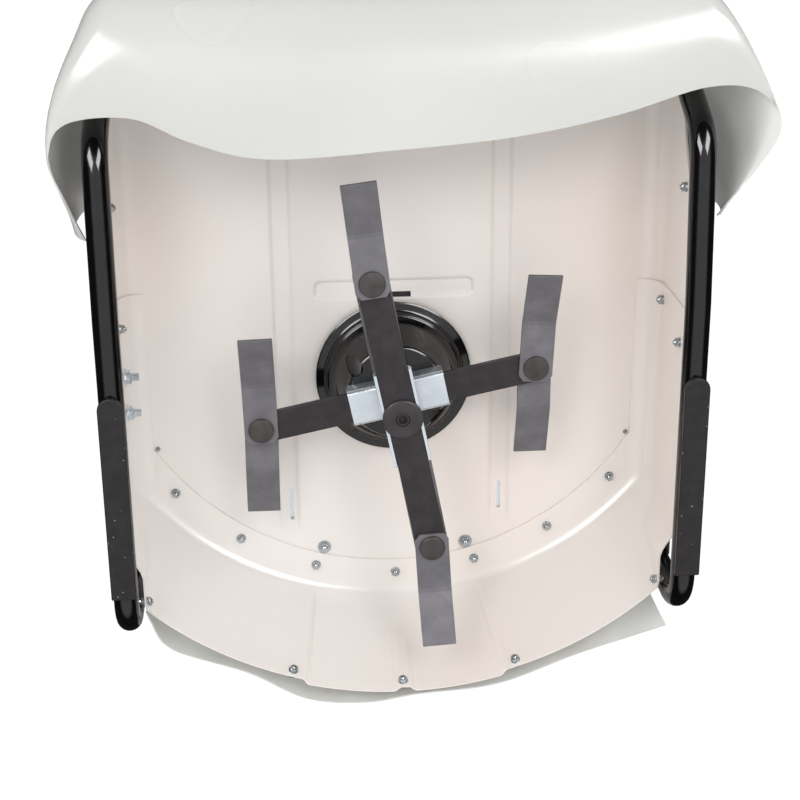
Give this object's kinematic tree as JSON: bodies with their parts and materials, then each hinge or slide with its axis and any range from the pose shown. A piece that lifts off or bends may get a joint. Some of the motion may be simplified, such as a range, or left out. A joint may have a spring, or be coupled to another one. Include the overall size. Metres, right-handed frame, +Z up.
{
  "type": "rotary brush mower deck",
  "caption": "Rotary brush mower deck for a walk-behind tractor: half-round shroud on skid runners, crossed bars with swinging blades, front curtain, rear flap and bevel drive.",
  "frame": {"origin": "on the ground, under the middle of the whole machine's box", "axes": "+Z up; +Y towards the open front with the curtain; -Y towards the tractor; +X is the machine's own right hand when looking along -Y"},
  "size_m": [0.8232, 0.9092, 0.3674],
  "materials": {
    "cream_paint": "semi-gloss",
    "black_gloss": "gloss",
    "black_satin": "satin",
    "dark_steel": "raw rolled",
    "bright_zinc": "bright zinc plated",
    "bearing_steel": "ground",
    "grey_casting": "cast",
    "white_vinyl": "gloss",
    "grey_rubber": "satin",
    "seal_rubber": "matte"
  },
  "bodies": {
    "deck": {"curtain_strip_front": "black_satin", "curtain_strip_left": "black_satin", "curtain_strip_right": "black_satin", "deck_shell": "cream_paint", "filler_plug": "bright_zinc", "front_curtain": "white_vinyl", "front_gusset_left": "black_gloss", "front_gusset_right": "black_gloss", "front_hoop": "black_gloss", "gearbox_housing": "grey_casting", "hitch_nose": "grey_casting", "input_bearing_front": "bearing_steel", "input_bearing_rear": "bearing_steel", "nose_support": "grey_casting", "rear_flap": "grey_rubber", "rear_leg_bracket_left": "black_gloss", "rear_leg_bracket_right": "black_gloss", "rear_shroud": "cream_paint", "runner_left": "black_gloss", "runner_right": "black_gloss", "side_bolt_front": "bright_zinc", "side_bolt_rear": "bright_zinc", "side_nut_front": "bright_zinc", "side_nut_rear": "bright_zinc", "spindle_bearing_lower": "bearing_steel", "spindle_bearing_upper": "bearing_steel", "spindle_housing": "grey_casting", "spindle_seal": "seal_rubber", "wear_shoe_left": "black_satin", "wear_shoe_right": "black_satin"},
    "rotor": {"spindle_shaft": "bearing_steel", "spindle_pinion": "bearing_steel", "hub_dish": "black_gloss", "rotor_boss": "black_satin", "upper_bar": "black_satin", "lower_bar": "black_satin", "upper_channel": "bright_zinc", "lower_channel": "bright_zinc", "rotor_spacer": "black_satin", "centre_washer": "black_satin", "centre_bolt": "black_satin", "blade_bolt_front": "black_satin", "blade_bolt_rear": "black_satin", "blade_bolt_left": "black_satin", "blade_bolt_right": "black_satin", "blade_nut_front": "bright_zinc", "blade_nut_rear": "bright_zinc", "blade_nut_left": "bright_zinc", "blade_nut_right": "bright_zinc"},
    "input_drive": {"input_shaft": "bearing_steel", "crown_gear": "bearing_steel", "drive_claw": "bearing_steel"},
    "under_blade_front": {"under_blade_front": "dark_steel"},
    "over_blade_front": {"over_blade_front": "dark_steel"},
    "under_blade_rear": {"under_blade_rear": "dark_steel"},
    "over_blade_rear": {"over_blade_rear": "dark_steel"},
    "under_blade_left": {"under_blade_left": "dark_steel"},
    "over_blade_left": {"over_blade_left": "dark_steel"},
    "under_blade_right": {"under_blade_right": "dark_steel"},
    "over_blade_right": {"over_blade_right": "dark_steel"}
  },
  "joints": [
    {"name": "rotor_spin", "type": "hinge", "parent": "deck", "child": "rotor", "pos_m": [0.0182, -0.0565, 0.2], "axis": [0, 0, 1], "continuous": true},
    {"name": "input_spin", "type": "hinge", "parent": "deck", "child": "input_drive", "pos_m": [0.0182, -0.1565, 0.3], "axis": [0, 1, 0], "continuous": true},
    {"name": "under_front_swing", "type": "hinge", "parent": "rotor", "child": "under_blade_front", "pos_m": [0.05309, 0.11499, 0.0723], "axis": [0, 0, 1], "continuous": true},
    {"name": "over_front_swing", "type": "hinge", "parent": "rotor", "child": "over_blade_front", "pos_m": [0.05309, 0.11499, 0.0849], "axis": [0, 0, 1], "continuous": true},
    {"name": "under_rear_swing", "type": "hinge", "parent": "rotor", "child": "under_blade_rear", "pos_m": [-0.01669, -0.22799, 0.0723], "axis": [0, 0, 1], "continuous": true},
    {"name": "over_rear_swing", "type": "hinge", "parent": "rotor", "child": "over_blade_rear", "pos_m": [-0.01669, -0.22799, 0.0849], "axis": [0, 0, 1], "continuous": true},
    {"name": "under_left_swing", "type": "hinge", "parent": "rotor", "child": "under_blade_left", "pos_m": [0.18969, -0.09139, 0.1428], "axis": [0, 0, 1], "continuous": true},
    {"name": "over_left_swing", "type": "hinge", "parent": "rotor", "child": "over_blade_left", "pos_m": [0.18969, -0.09139, 0.1554], "axis": [0, 0, 1], "range_deg": [-62, 216]},
    {"name": "under_right_swing", "type": "hinge", "parent": "rotor", "child": "under_blade_right", "pos_m": [-0.15329, -0.02161, 0.1428], "axis": [0, 0, 1], "continuous": true},
    {"name": "over_right_swing", "type": "hinge", "parent": "rotor", "child": "over_blade_right", "pos_m": [-0.15329, -0.02161, 0.1554], "axis": [0, 0, 1], "range_deg": [-240, 38]}
  ],
  "couplings": [
    {"joint": "input_spin", "follows": "rotor_spin", "ratio": -0.5}
  ]
}
